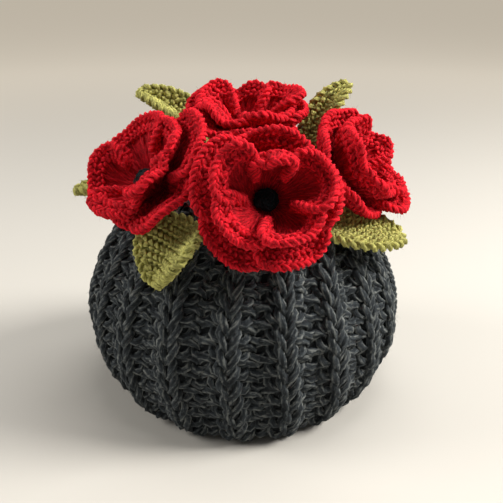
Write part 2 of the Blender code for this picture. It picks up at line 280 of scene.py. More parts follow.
# How far each plait's strands swing across it, and off its face.
RIM_PLAIT = (0.0014, 0.0010)
ROW_PLAIT = (0.0014, 0.0019)
RIDGE_PLAIT = (0.0016, 0.0017)
EDGE_PLAIT = (0.0022, 0.0014)

# One row for each yarn. Ply Groove: its depth as a share of the radius; Twist Pitch: the metres in which
# the plies turn once; Sides: the facets round it.
YARN_COLUMNS = ("Plies", "Ply Groove", "Twist Pitch", "Sides")
YARNS = {
    "rib": (4, 0.20, 0.034, 8),
    "cast_on": (3, 0.30, 0.018, 8),
    "seam": (3, 0.25, 0.018, 6),
    "post": (4, 0.32, 0.022, 8),
    "petal_rim": (3, 0.22, 0.012, 6),
    "button": (3, 0.30, 0.008, 9),
    "garter": (3, 0.24, 0.010, 6),
    "leaf_edge": (3, 0.24, 0.010, 7),
}
THICK_AND_THIN = 260.0  # scale of the noise that makes a yarn thick and thin
THINNEST = 0.82  # a yarn's least radius, as a share
STRAND_UNIT = 0.002
FIBRE_LEAN = ((0.75, -0.5, 0.0), (1.45, 0.5, 6.283))  # least and most turn, in radians
FIBRE_SIZES = ((0.7, 0.7, 0.45), (1.2, 1.2, 1.3))  # least and most, as shares

# The grain of every wool.
FIBRE_STRETCH = (3.2, 3.2, 1.0)  # finer round a strand than along it
GROUND_GRAIN = (900.0, 900.0, 900.0)
FIBRE_NOISE = (1.0, 4.0, 0.65)  # scale, detail and roughness
PATCH_NOISE = (210.0, 3.0, 0.6)
FIBRE_SHARE = 0.60  # how much of the colour follows the fibres, where the rest follows the patches
CREST_PAINTED_GAIN, CREST_PAINTED_DROP = 0.18, -0.11  # painted highlight on a ply's crest and painted shade in the groove beside it
DEEP_STOP, BASE_STOP, PALE_STOP = 0.36, 0.50, 0.64
BUMP_STRENGTH, BUMP_HEIGHT = 0.6, 0.0006
ROUGHNESS = (0.86, 0.98)
SPECULAR = 0.18
SHEEN_ROUGHNESS = 0.35
# One row for each wool of one colour: that colour as a share of the setting, its darkest and palest shades as
# shares of it, and its sheen. The darkest shade takes darker fibres and, as painted shade, the plies'
# grooves; the palest takes paler fibres and, as painted highlight, the plies' crests. A ground wool lies
# under a cloth's yarn.
WOOLS = {
    "felted_charcoal": (0.3, 0.5, 7 / 6, 0.1),
    "loose_heather": (1.0, 0.4, 1.5, 0.1),
    "spun_scarlet": (1.0, 0.45, 1.35, 0.12),
    # The posts' scarlet is darkened to 0.8 and given less sheen as painted shade for the shade inside the
    # poppies' cups.
    "painted_shade_scarlet": (0.8, 0.45, 1.35, 0.06),
    "felted_scarlet": (0.6, 0.5, 1.3, 0.1),
    "spun_black": (1.0, 0.4, 2.6, 0.25),
    "spun_moss": (1.0, 0.5, 1.6, 0.15),
    "felted_moss": (0.6, 0.5, 1.3, 0.1),
}
HEATHER_DEEP, HEATHER_SHEEN = 0.35, 0.05  # the same of the body's heathered wool

# ---- sizes and finishes that a maker would change ----


def distance(name, description, default, low, high):
    """A length, for a settings group."""
    return FloatProperty(
        name=name, description=description, default=default, min=low, max=high,
        subtype="DISTANCE", unit="LENGTH",
    )


def shade(name, description, default):
    """A wool's colour, for a settings group."""
    return FloatVectorProperty(
        name=name, description=description, default=default, min=0.0, max=1.0, size=3, subtype="COLOR",
    )


class KnitSettings(PropertyGroup):
    """The ribbed body."""

    yarn_radius: distance("Yarn radius", "Half the thickness of the body's yarn", 0.0024, 0.0008, 0.004)
    loop_height: FloatProperty(
        name="Loop height", description="How far a loop reaches above its course, in courses",
        default=0.86, min=0.4, max=1.2,
    )
    loop_lean: FloatProperty(
        name="Loop lean", description="How far a loop's legs lean outwards, in stitch widths",
        default=0.30, min=0.0, max=0.3,
    )
    loop_depth: distance(
        "Loop depth", "How far a loop's legs stand in front of its head", 0.0016, 0.0, 0.004
    )
    seed: IntProperty(name="Seed", description="For the uneven tension", default=7, min=0)
    colour: shade("Wool", "The body's heathered charcoal", (0.034, 0.041, 0.047))
    heather: shade("Heather", "The paler fibres in the body's wool", (0.170, 0.180, 0.172))


class PoppySettings(PropertyGroup):
    """The crocheted poppies."""

    post_radius: distance(
        "Post radius", "Half the thickness of a treble's post at the rim", 0.0019, 0.0005, 0.003
    )
    rim_radius: distance(
        "Rim strand radius", "Half the thickness of a strand of the rim's chain", 0.00135, 0.0004, 0.002
    )
    stitch: distance("Stitch", "Length of one stitch of the rim's chain", 0.0048, 0.002, 0.01)
    posts: IntProperty(name="Posts", description="Trebles in a petal", default=13, min=5, max=24)
    colour: shade("Wool", "The poppies' scarlet", (0.66, 0.009, 0.021))
    eye: shade("Eye", "The buttons' near black", (0.006, 0.010, 0.012))


class LeafSettings(PropertyGroup):
    """The knitted leaves."""

    row_radius: distance(
        "Row strand radius", "Half the thickness of a strand of a garter ridge", 0.0014, 0.0004, 0.002
    )
    rim_radius: distance(
        "Rim strand radius", "Half the thickness of a strand of the rim's loops", 0.0015, 0.0004, 0.002
    )
    stitch: distance("Stitch", "Length of one bump of a garter ridge", 0.0052, 0.002, 0.008)
    loop: distance("Edge loop", "Length of one loop of a leaf's edge", 0.0068, 0.002, 0.01)
    colour: shade("Wool", "The leaves' moss green", (0.40, 0.385, 0.116))


class FuzzSettings(PropertyGroup):
    """The loose fibres that stand off the wool."""

    density: FloatProperty(
        name="Density", description="Fibres on a square metre of yarn", default=86000.0, min=0.0,
    )
    length: distance("Length", "A fibre's usual length", 0.0030, 0.0005, 0.01)
    radius: distance("Radius", "Half a fibre's thickness at its root", 0.00007, 0.00002, 0.0005)


# ---- node trees ----


def new_tree(name, inputs):
    """A geometry tree with one geometry input and output, and an input of each name and kind."""
    tree = bpy.data.node_groups.new(name, "GeometryNodeTree")
    tree.is_modifier = True
    face = tree.interface
    face.new_socket("Geometry", in_out="OUTPUT", socket_type="NodeSocketGeometry")
    face.new_socket("Geometry", in_out="INPUT", socket_type="NodeSocketGeometry")
    for label, kind in inputs.items():
        face.new_socket(label, in_out="INPUT", socket_type="NodeSocket" + kind)
    return tree, tree.nodes.new("NodeGroupInput").outputs, tree.nodes.new("NodeGroupOutput").inputs


def new_node(tree, kind, settings):
    node = tree.nodes.new(kind)
    for key, value in settings.items():
        setattr(node, key, value)
    return node


def feed(tree, socket, value):
    """Links a node's input to another node's output, or sets it to a plain value."""
    if isinstance(value, bpy.types.NodeSocket):
        tree.links.new(value, socket)
    elif value is not None:
        socket.default_value = value


def fill(tree, node, inputs):
    """Feeds a node's inputs, each under its name or number."""
    for key, value in inputs.items():
        feed(tree, node.inputs[key], value)
    return node


def wired(tree, kind, inputs, **settings):
    """A new node, with its inputs fed under their names or numbers."""
    return fill(tree, new_node(tree, kind, settings), inputs)


def add(tree, kind, *inputs, output=0, **settings):
    """An output of a new node, with its inputs fed in their order. None leaves an input as it is."""
    node = new_node(tree, kind, settings)
    for socket, value in zip([socket for socket in node.inputs if socket.enabled], inputs):
        feed(tree, socket, value)
    return [socket for socket in node.outputs if socket.enabled][output]


def sums(tree, operation, *inputs):
    return add(tree, "ShaderNodeMath", *inputs, operation=operation)


def scaled(tree, vector, amount):
    scale = wired(tree, "ShaderNodeVectorMath", {0: vector, "Scale": amount}, operation="SCALE")
    return scale.outputs[0]


def attribute(tree, name, data_type):
    return add(tree, "GeometryNodeInputNamedAttribute", name, data_type=data_type)


def captured(tree, geometry, value):
    """The geometry, and the value as it is there, carried along with it."""
    node = tree.nodes.new("GeometryNodeCaptureAttribute")
    node.capture_items.new("FLOAT", "Value")
    tree.links.new(geometry, node.inputs[0])
    tree.links.new(value, node.inputs[1])
    return node.outputs[0], node.outputs[1]


def finish_tree(tree, mesh, given, result):
    mesh = add(tree, "GeometryNodeRealizeInstances", mesh)
    mesh = add(tree, "GeometryNodeSetMaterial", mesh, None, given["Material"])
    tree.links.new(mesh, result[0])


def spin(tree, lines, given, result):
    """Ends a tree with plied yarn along every line of a mesh. The yarn carries the strand's own
    coordinates, which are the cosine and sine round it and the length along it in strand units, and its
    crest, which is 1 on a ply and 0 in a groove."""
    curve = add(tree, "GeometryNodeMeshToCurve", lines)
    length = add(tree, "GeometryNodeSplineParameter", output=1)
    tilt = sums(tree, "MULTIPLY", sums(tree, "DIVIDE", length, given["Twist Pitch"]), 2 * math.pi)
    curve = add(tree, "GeometryNodeSetCurveTilt", curve, None, tilt)
    curve, run = captured(tree, curve, length)
    ring = add(tree, "GeometryNodeCurvePrimitiveCircle", given["Sides"], 1.0)
    angle = sums(tree, "MULTIPLY", add(tree, "GeometryNodeSplineParameter"), 2 * math.pi)
    wave = sums(tree, "COSINE", sums(tree, "MULTIPLY", angle, given["Plies"]))
    groove = sums(tree, "MULTIPLY", given["Ply Groove"], 0.5)
    dip = sums(tree, "MULTIPLY", sums(tree, "SUBTRACT", 1.0, wave), groove)
    place = scaled(tree, add(tree, "GeometryNodeInputPosition"), sums(tree, "SUBTRACT", 1.0, dip))
    ring = add(tree, "GeometryNodeSetPosition", ring, None, place)
    ring, turn = captured(tree, ring, angle)
    ring, crest = captured(tree, ring, sums(tree, "MULTIPLY_ADD", wave, 0.5, 0.5))
    radius = sums(tree, "MULTIPLY", given["Yarn Radius"], attribute(tree, "girth", "FLOAT"))
    uneven = add(tree, "ShaderNodeTexNoise", None, THICK_AND_THIN, 1.0, noise_dimensions="3D")
    uneven = sums(tree, "ADD", sums(tree, "MULTIPLY", uneven, 2 * (1 - THINNEST)), THINNEST)
    radius = sums(tree, "MULTIPLY", radius, uneven)
    mesh = add(tree, "GeometryNodeCurveToMesh", curve, ring, radius, True)
    strand = add(
        tree, "ShaderNodeCombineXYZ", sums(tree, "COSINE", turn), sums(tree, "SINE", turn),
        sums(tree, "DIVIDE", run, STRAND_UNIT),
    )
    for name, value, data_type in (("strand", strand, "FLOAT_VECTOR"), ("crest", crest, "FLOAT")):
        mesh = add(
            tree, "GeometryNodeStoreNamedAttribute", mesh, None, name, value,
            data_type=data_type, domain="POINT",
        )
    finish_tree(tree, add(tree, "GeometryNodeSetShadeSmooth", mesh, None, True), given, result)


YARN_INPUTS = {
    "Yarn Radius": "Float", "Plies": "Int", "Ply Groove": "Float", "Twist Pitch": "Float",
    "Sides": "Int", "Material": "Material",
}
LOOP_INPUTS = {"Loop Height": "Float", "Loop Lean": "Float", "Loop Depth": "Float"}
FUZZ_INPUTS = {
    "Density": "Float", "Fibre Length": "Float", "Fibre Radius": "Float", "Seed": "Int",
    "Material": "Material",
}


def knit_tree():
    """Turns courses into knit and purl loops of plied yarn.

    Every point of a course knows its turn round its loop, its kind (1 knit, -1 purl), its girth, and
    what a stitch's width, a course's height and the way out of the fabric are there.
    """
    tree, given, result = new_tree("Knit Courses", LOOP_INPUTS | YARN_INPUTS)
    turn = attribute(tree, "turn", "FLOAT")
    twice = sums(tree, "MULTIPLY", turn, 2.0)
    legs = sums(tree, "MULTIPLY", sums(tree, "COSINE", twice), given["Loop Depth"])
    behind = sums(tree, "MULTIPLY", attribute(tree, "kind", "FLOAT"), -1.0)
    moves = (
        ("sideways", sums(tree, "MULTIPLY", sums(tree, "SINE", twice), given["Loop Lean"])),
        ("upwards", sums(tree, "MULTIPLY", sums(tree, "COSINE", turn), given["Loop Height"])),
        ("outwards", sums(tree, "MULTIPLY", legs, behind)),
    )
    offset = None
    for name, amount in moves:
        step = scaled(tree, attribute(tree, name, "FLOAT_VECTOR"), amount)
        offset = step if offset is None else add(tree, "ShaderNodeVectorMath", offset, step, operation="ADD")
    spin(tree, add(tree, "GeometryNodeSetPosition", given["Geometry"], None, None, offset), given, result)
    return tree


def strand_tree():
    """Sweeps plied yarn along every line of a mesh."""
    tree, given, result = new_tree("Yarn Strands", YARN_INPUTS)
    spin(tree, given["Geometry"], given, result)
    return tree


def random_vector(tree, ends, given):
    """For each fibre, a vector drawn between a least and a most."""
    inputs = {0: ends[0], 1: ends[1], "Seed": given["Seed"]}
    return wired(tree, "FunctionNodeRandomValue", inputs, data_type="FLOAT_VECTOR").outputs[0]


def fuzz_tree():
    """Stands short fibres on a yarn's surface."""
    tree, given, result = new_tree("Wool Fuzz", FUZZ_INPUTS)
    spread = {"Mesh": given["Geometry"], "Density": given["Density"], "Seed": given["Seed"]}
    scatter = wired(tree, "GeometryNodeDistributePointsOnFaces", spread)
    cone = {
        "Vertices": 3, "Side Segments": 1, "Radius Bottom": given["Fibre Radius"],
        "Depth": given["Fibre Length"],
    }
    fibre = wired(tree, "GeometryNodeMeshCone", cone, fill_type="NONE")
    lean = wired(tree, "FunctionNodeEulerToRotation", {0: random_vector(tree, FIBRE_LEAN, given)}).outputs[0]
    stand = {0: scatter.outputs["Rotation"], 1: lean}
    turned = wired(tree, "FunctionNodeRotateRotation", stand, rotation_space="LOCAL")
    placed = wired(tree, "GeometryNodeInstanceOnPoints", {
        "Points": scatter.outputs["Points"], "Instance": fibre.outputs["Mesh"],
        "Rotation": turned.outputs[0], "Scale": random_vector(tree, FIBRE_SIZES, given),
    })
    finish_tree(tree, placed.outputs[0], given, result)
    return tree


def run_tree(thing, tree, values):
    """Runs a tree on an object, and leaves its result as a plain mesh."""
    modifier = thing.modifiers.new(tree.name, "NODES")
    modifier.node_group = tree
    for item in tree.interface.items_tree:
        if item.name in values:
            modifier[item.identifier] = values[item.name]
    graph = bpy.context.evaluated_depsgraph_get()
    made = bpy.data.meshes.new_from_object(
        thing.evaluated_get(graph), preserve_all_data_layers=True, depsgraph=graph
    )
    if not made.polygons:
        raise RuntimeError(f"{tree.name} made nothing on {thing.name}")
    thing.modifiers.clear()
    old = thing.data
    thing.data = made
    made.name = thing.name
    bpy.data.meshes.remove(old)


def tree_named(name, maker):
    return bpy.data.node_groups.get(name) or maker()


# ---- materials ----


def stored(tree, name, output):
    """An attribute of the piece, for its material."""
    source = tree.nodes.new("ShaderNodeAttribute")
    source.attribute_name = name
    return source.outputs[output]


def wool(name, deep, base, pale, sheen, ground=False):
    """Spun wool. Its fibres follow the strand's own coordinates, or the object's on a ground."""
    material = bpy.data.materials.new(name)
    material.use_nodes = True
    tree = material.node_tree
    place = add(tree, "ShaderNodeTexCoord", output=3)
    if ground:
        strand = add(tree, "ShaderNodeMapping", place, None, None, GROUND_GRAIN)
        crest = 0.5
    else:
        strand = stored(tree, "strand", "Vector")
        strand = add(tree, "ShaderNodeMapping", strand, None, None, FIBRE_STRETCH)
        crest = stored(tree, "crest", "Fac")
    fibres = add(tree, "ShaderNodeTexNoise", strand, *FIBRE_NOISE)
    patches = add(tree, "ShaderNodeTexNoise", place, *PATCH_NOISE)
    blend = sums(tree, "MULTIPLY", fibres, FIBRE_SHARE)
    blend = sums(tree, "ADD", blend, sums(tree, "MULTIPLY", patches, 1 - FIBRE_SHARE))
    # Painted highlight on the plies' crests and painted shade in their grooves.
    blend = sums(tree, "ADD", blend, sums(tree, "MULTIPLY_ADD", crest, CREST_PAINTED_GAIN, CREST_PAINTED_DROP))
    ramp = wired(tree, "ShaderNodeValToRGB", {0: blend})
    stops = ramp.color_ramp.elements
    for stop, position, colour in ((stops[0], DEEP_STOP, deep), (stops[1], PALE_STOP, pale)):
        stop.position = position
        stop.color = (*colour, 1.0)
    stops.new(BASE_STOP).color = (*base, 1.0)
    bumps = wired(tree, "ShaderNodeBump", {
        "Strength": BUMP_STRENGTH, "Distance": BUMP_HEIGHT,
        "Height": sums(tree, "MULTIPLY_ADD", crest, 0.5, fibres),
    })
    fill(tree, tree.nodes["Principled BSDF"], {
        "Base Color": ramp.outputs[0],
        "Normal": bumps.outputs[0],
        "Roughness": add(tree, "ShaderNodeMapRange", fibres, 0.3, 0.7, *ROUGHNESS),
        "Specular IOR Level": SPECULAR,
        "Sheen Weight": sheen,
        "Sheen Roughness": SHEEN_ROUGHNESS,
        "Sheen Tint": (*[min(1.0, 0.05 + 0.9 * c) for c in pale], 1.0),
    })
    return material


def body_wool():
    """The heathered yarn of the body, made once."""
    knit = bpy.context.scene.cosy_knit
    deep = [c * HEATHER_DEEP for c in knit.colour]
    return bpy.data.materials.get("spun_charcoal") or wool(
        "spun_charcoal", deep, knit.colour, knit.heather, HEATHER_SHEEN
    )


def plain_wool(name, colour):
    """A wool of one colour, made once as its row of WOOLS says."""
    share, low, high, sheen = WOOLS[name]
    base = [c * share for c in colour]
    deep = [c * low for c in base]
    pale = [min(1.0, c * high) for c in base]
    return bpy.data.materials.get(name) or wool(
        name, deep, base, pale, sheen, ground=name.startswith("felted")
    )


# ---- meshes ----


def linked(name, mesh):
    thing = bpy.data.objects.new(name, mesh)
    bpy.context.scene.collection.objects.link(thing)
    return thing


def lines_object(name, lines, closed=False, **columns):
    """A mesh of open or closed lines. Each column is one list of arrays, a value for each point."""
    points = np.concatenate(lines)
    edges, first = [], 0
    for line in lines:
        count = len(line)
        ring = np.arange(first, first + count)
        nxt = np.roll(ring, -1)
        pairs = np.stack([ring, nxt], axis=1)
        edges.append(pairs if closed else pairs[:-1])
        first += count
    mesh = bpy.data.meshes.new(name)
    mesh.from_pydata(points.tolist(), np.concatenate(edges).tolist(), [])
    for label, values in columns.items():
        values = np.concatenate(values)
        kind = "FLOAT_VECTOR" if values.ndim == 2 else "FLOAT"
        layer = mesh.attributes.new(label, kind, "POINT")
        layer.data.foreach_set("vector" if values.ndim == 2 else "value", values.ravel().astype(np.float32))
    return linked(name, mesh)


def sheet_object(name, grid, thickness, material, closed):
    """A thin cloth through a grid of points, whose rows are rings where closed is true."""
    rows, columns, _ = grid.shape
    faces = []
    for r in range(rows - 1):
        for c in range(columns if closed else columns - 1):
            d = (c + 1) % columns
            faces.append((r * columns + c, r * columns + d, (r + 1) * columns + d, (r + 1) * columns + c))
    mesh = bpy.data.meshes.new(name)
    mesh.from_pydata(grid.reshape(-1, 3).tolist(), [], faces)
    mesh.shade_smooth()
    mesh.materials.append(material)
    thing = linked(name, mesh)
    wall = thing.modifiers.new("Thickness", "SOLIDIFY")
    wall.thickness = thickness
    wall.offset = 0.0
    wall.use_even_offset = False
    graph = bpy.context.evaluated_depsgraph_get()
    made = bpy.data.meshes.new_from_object(thing.evaluated_get(graph), depsgraph=graph)
    thing.modifiers.clear()
    thing.data = made
    bpy.data.meshes.remove(mesh)
    made.name = name
    return thing


def yarn_values(yarn, radius, material):
    """What a tree reads of a yarn, which is a row of YARNS."""
    return {**dict(zip(YARN_COLUMNS, YARNS[yarn])), "Yarn Radius": radius, "Material": material}


def yarn_piece(name, lines, yarn, radius, material, closed=False, girths=None):
    """Plied yarn along every line, as one piece."""
    girths = girths or [np.ones(len(line)) for line in lines]
    thing = lines_object(name, lines, closed=closed, girth=girths)
    run_tree(thing, tree_named("Yarn Strands", strand_tree), yarn_values(yarn, radius, material))
    return thing


def sew_on(pieces):
    """Makes the pieces move with the cosy."""
    for thing in pieces:
        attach(thing, "root")


def unit(v):
    return v / np.linalg.norm(v, axis=-1, keepdims=True)


# ---- body ----


def ring_radii(share):
    """(radius along X, radius along Y, z) of the round over the ribs, share of the way up the rows."""
    row = np.asarray(share, float) * (LOWER_ROWS + UPPER_ROWS)
    low = np.clip(row / LOWER_ROWS, 0, 1) * np.pi / 2
    high = np.clip((row - LOWER_ROWS) / UPPER_ROWS, 0, 1) * np.pi / 2
    out = np.sin(low) ** LOWER_POWER
    drawn = 1 - np.cos(high).clip(0) ** UPPER_POWER
    z = WIDEST_Z * (1 - np.cos(low)) + (CROWN_Z - WIDEST_Z) * np.sin(high) ** UPPER_POWER
    along_x = HEM_RADIUS_X + (RIDGE_RADIUS - HEM_RADIUS_X) * out
    along_y = HEM_RADIUS_Y + (RIDGE_RADIUS - HEM_RADIUS_Y) * out
    return along_x + (CROWN_RADIUS - along_x) * drawn, along_y + (CROWN_RADIUS - along_y) * drawn, z


def ring_point(share, bearing):
    along_x, along_y, z = ring_radii(share)
    z = z + 0 * bearing
    return np.stack([along_x * np.sin(bearing), -along_y * np.cos(bearing), z], axis=-1)


def fabric_axes(share, bearing):
    """Unit vectors along the course, up the fabric and out of it."""
    step = 0.004
    up = unit(
        ring_point(np.minimum(share + step, 1.0), bearing)
        - ring_point(np.maximum(share - step, 0.0), bearing)
    )
    along = np.stack([np.cos(bearing), np.sin(bearing), 0 * bearing], axis=-1)
    return along, up, unit(np.cross(along, up))


def fabric_steps():
    """Close shares of the rows, and the lengths along the fabric between them."""
    share = np.linspace(0, 1, 801)
    along_x, along_y, z = ring_radii(share)
    return share, np.hypot(np.diff((along_x + along_y) / 2), np.diff(z))


def share_at(length):
    """The share of the rows at a length along the fabric from the hem."""
    share, steps = fabric_steps()
    return np.interp(length, np.concatenate([[0.0], np.cumsum(steps)]), share)


def fabric_length():
    return float(fabric_steps()[1].sum())


def mean_radius(share):
    return float(sum(ring_radii(share)[:2]) / 2)


def slit_half_angle(slit, share):
    radius, _, z = ring_radii(share)
    middle = (slit["low"] + slit["high"]) / 2
    reach = (z - middle) / (slit["high"] - middle)
    lens = slit["half"] * np.clip(1 - reach * reach, 0, 1) ** SLIT_POWER / radius
    return np.maximum(SEAM_GAP / 2 / radius, lens)


def panel_bearings(panel, share):
    """The bearings of a panel's two side edges at this share of the rows."""
    first, last, start = PANELS[panel]
    return start + slit_half_angle(first, share), start + math.pi - slit_half_angle(last, share)


def rib_recess(ribs, share):
    """How far the fabric lies behind the ribs' crests, ribs being a place counted in ribs."""
    fade = np.minimum(1.0, RIB_FADE + ring_radii(share)[0] / RIDGE_RADIUS)
    crest = (0.5 + 0.5 * np.cos(2 * np.pi * (ribs - RIDGE))) ** RIB_POWER
    return RIB_DEPTH - RIB_DEPTH * crest * fade


def course_edges(share):
    """The edges of a course's stitches, counted in ribs, and each one's kind: 1 knit, -1 purl."""
    edges = next(edges for reach, edges in ZONES if mean_radius(share) >= reach)
    count = len(edges) - 1
    stops = [rib + edge for rib in range(RIBS) for edge in edges[:-1]] + [float(RIBS)]
    return np.array(stops), np.tile([1.0] + [-1.0] * (count - 1), RIBS)


def course(panel, number, knit, rng):
    """One course's points and what the knit tree reads at each."""
    share = float(share_at(FIRST_ROW + number * ROW_PITCH))
    edges, kinds = course_edges(share)
    width = np.diff(edges)
    low, high = panel_bearings(panel, share)
    radius = mean_radius(share)
    inset = knit.yarn_radius * COURSE_INSET / radius
    low, high = low + inset, high - inset
    rib = (high - low) / RIBS
    turn = -np.pi + 2 * np.pi * np.arange(YARN_STEPS) / YARN_STEPS
    stitch = np.repeat(np.arange(len(width)), YARN_STEPS)
    turns = np.tile(turn, len(width))
    place = edges[stitch] + width[stitch] * (turns + np.pi) / (2 * np.pi)
    before = kinds[np.maximum(stitch - 1, 0)]
    after = kinds[np.minimum(stitch + 1, len(width) - 1)]
    swap = np.clip((np.abs(turns) / np.pi - SWAP_START) / (1 - SWAP_START), 0, 1) ** SWAP_POWER / 2
    beside = np.where(turns < 0, before, after)
    kind = kinds[stitch] * (1 - swap) + beside * swap
    bearing = low + rib * drawn(place)
    along, up, out = fabric_axes(share, bearing)
    size = width[stitch] * rib * radius
    recess = rib_recess(place, share)
    crowd = np.clip(size / FULL_STITCH, MOST_CROWDED, 1.0)
    loose = 1 + LOOSENESS * rng.standard_normal(len(width))[stitch]
    shift = STRAY * rng.standard_normal((len(width), 3))
    shift[:, 2] *= STRAY_OUT
    shift = shift[stitch] * (0.5 + 0.5 * np.cos(turns))[:, None]
    deep = knit.yarn_radius * crowd + knit.loop_depth + recess + PURL_SINK * (1 - kind) / 2
    phase = (place - RIDGE) % 1.0
    climb = COURSE_SLANT * np.sin(2 * np.pi * (phase - 0.5))
    point = ring_point(share, bearing) - out * (deep + YARN_SINK)[:, None]
    point = point + along * shift[:, :1] + up * (shift[:, 1:2] + climb[:, None]) + out * shift[:, 2:]
    return {
        "point": point,
        "turn": turns,
        "kind": kind,
        "girth": 0.5 + 0.5 * crowd,
        "sideways": along * (size * loose)[:, None],
        "upwards": up * ROW_PITCH,
        "outwards": out * (0.4 + 0.6 * crowd)[:, None],
    }


def selvedge(lower, upper, end):
    """The loop at a side edge that takes the yarn from one course up to the next."""
    pick, way = (-1, 1) if end == "high" else (0, -1)
    made = {key: [] for key in lower}
    for share, bulge in ((0.25, 0.8), (0.5, 1.0), (0.75, 0.8)):
        for key in lower:
            made[key].append(lower[key][pick] * (1 - share) + upper[key][pick] * share)
        side = unit(lower["sideways"][pick]) * way
        made["point"][-1] = made["point"][-1] + side * SELVEDGE_BULGE * bulge
        made["turn"][-1] = np.pi * way
    return {key: np.array(values) for key, values in made.items()}


def reversed_course(one):
    return {key: values[::-1] for key, values in one.items()}


def knit_rows(panel, numbers, knit):
    """Courses worked to and fro as one strand."""
    rng = np.random.default_rng(knit.seed + 100 * list(PANELS).index(panel))
    every = [course(panel, n, knit, rng) for n in range(course_count())]
    parts = []
    for i, n in enumerate(numbers):
        one = every[n]
        parts.append(reversed_course(one) if i % 2 else one)
        if i + 1 < len(numbers):
            parts.append(selvedge(one, every[numbers[i + 1]], "low" if i % 2 else "high"))
    return {key: np.concatenate([part[key] for part in parts]) for key in parts[0]}


def course_count():
    return int((fabric_length() - FIRST_ROW - LAST_ROW) / ROW_PITCH) + 1


def drawn(place):
    """Where a place counted in ribs lies once the tension has drawn it."""
    return place + np.interp(place, np.arange(RIBS + 1), UNEVEN)


def cast_on(panel):
    """The twisted edge along the hem."""
    share = float(share_at(CAST_ON_PLACE))
    low, high = panel_bearings(panel, share)
    place = np.linspace(0, RIBS, RIBS * STITCHES_A_RIB * CAST_ON_STEPS + 1)
    across = CAST_ON_INSET + (1 - 2 * CAST_ON_INSET) * drawn(place) / RIBS
    bearing = low + (high - low) * across
    _, up, out = fabric_axes(share, bearing)
    turn = 2 * np.pi * place * STITCHES_A_RIB
    deep = CAST_ON_DEPTH + CAST_ON_FOLLOW * rib_recess(place, share)
    point = ring_point(share, bearing) - out * deep[:, None]
    winds_out, winds_up = CAST_ON_TWIST
    return point + out * (winds_out * np.cos(turn))[:, None] + up * (winds_up * np.sin(turn))[:, None]


def edge_chains(panel):
    """The chains that sew this panel's first edge to the other panel, below the slit and above it, and
    the selvedges of its two edges beside the slits."""
    slit, other, start = PANELS[panel]
    shares = share_at(np.linspace(SEAM_ENDS, fabric_length() - SEAM_ENDS, SEAM_POINTS))
    heights = ring_radii(shares)[2]
    sewn = np.full_like(shares, start)
    edges = np.array([panel_bearings(panel, share) for share in shares])
    inset = SELVEDGE_INSET / ring_radii(shares)[0]
    runs = [
        (heights < slit["low"] + SEAM_LAP, sewn, SEAM_WIDTH),
        (heights > slit["high"] - SEAM_LAP, sewn, SEAM_WIDTH),
    ]
    for opening, bearing in ((slit, edges[:, 0] + inset), (other, edges[:, 1] - inset)):
        open_here = (heights > opening["low"]) & (heights < opening["high"])
        runs.append((open_here, bearing, SELVEDGE_WIDTH))
    strands = []
    for here, bearing, wide in runs:
        along, _, out = fabric_axes(shares[here], bearing[here])
        line = ring_point(shares[here], bearing[here]) - out * SEAM_DEPTH
        strands += plait(line, along, out, ROW_PITCH * SEAM_STITCH, wide, SEAM_SWING, closed=False)
    return strands


class COSY_OT_knit_panels(Operator):
    """Knit the two ribbed panels of the body."""

    bl_idname = "cosy.knit_panels"
    bl_label = "Knit Panels"

    def execute(self, context):
        knit = context.scene.cosy_knit
        tree = tree_named("Knit Courses", knit_tree)
        count = course_count()
        middle = count // 2 - 1
        for panel in PANELS:
            pieces = []
            for part, numbers in (("lower", range(middle)), ("upper", range(middle, count))):
                rows = knit_rows(panel, numbers, knit)
                point = rows.pop("point")
                thing = lines_object(
                    f"{panel}_yarn_{part}", [point], **{key: [value] for key, value in rows.items()}
                )
                run_tree(thing, tree, {
                    "Loop Height": knit.loop_height, "Loop Lean": knit.loop_lean,
                    "Loop Depth": knit.loop_depth, **yarn_values("rib", knit.yarn_radius, body_wool()),
                })
                pieces.append(thing)
            for part, lines, yarn, radius in (
                ("cast_on", [cast_on(panel)], "cast_on", CAST_ON_RADIUS),
                ("edges", edge_chains(panel), "seam", SEAM_RADIUS),
            ):
                pieces.append(yarn_piece(f"{panel}_{part}", lines, yarn, radius, body_wool()))
            self.lay_ground(panel, knit, pieces)
        return {"FINISHED"}

    def lay_ground(self, panel, knit, pieces):
        """The dark cloth between the loops that the yarn stands on, its colour darkened as painted shade for
        the gaps between the stitches.
        """
        lengths = np.linspace(GROUND_HEM, fabric_length() - GROUND_CROWN, GROUND_ROUNDS)
        columns = np.linspace(0, RIBS, RIBS * GROUND_STEPS + 1)
        grid, area = [], 0.0
        for length in lengths:
            share = float(share_at(length))
            low, high = panel_bearings(panel, share)
            radius = mean_radius(share)
            inset = GROUND_INSET / radius
            bearing = low + inset + (high - low - 2 * inset) * drawn(columns) / RIBS
            out = fabric_axes(share, bearing)[2]
            deep = knit.yarn_radius + knit.loop_depth + rib_recess(columns, share)
            grid.append(ring_point(share, bearing) - out * deep[:, None])
            area += (high - low) * radius * (lengths[1] - lengths[0])
        # The ground's wool is the body's colour darkened as painted shade for the gaps between the stitches.
        under = plain_wool("felted_charcoal", knit.colour)
        ground = sheet_object(f"{panel}_ground", np.array(grid), BODY_GROUND, under, False)
        sew_on([ground, *pieces])
        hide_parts(panel)


# ---- poppies ----


def facing(azimuth, rise):
    """Unit vectors ahead, right and top of a thing that faces azimuth, clockwise from -Y, and rise."""
    a, r = math.radians(azimuth), math.radians(rise)
    ahead = np.array([math.sin(a) * math.cos(r), -math.cos(a) * math.cos(r), math.sin(r)])
    right = np.array([math.cos(a), math.sin(a), 0.0])
    return ahead, right, np.cross(ahead, right)


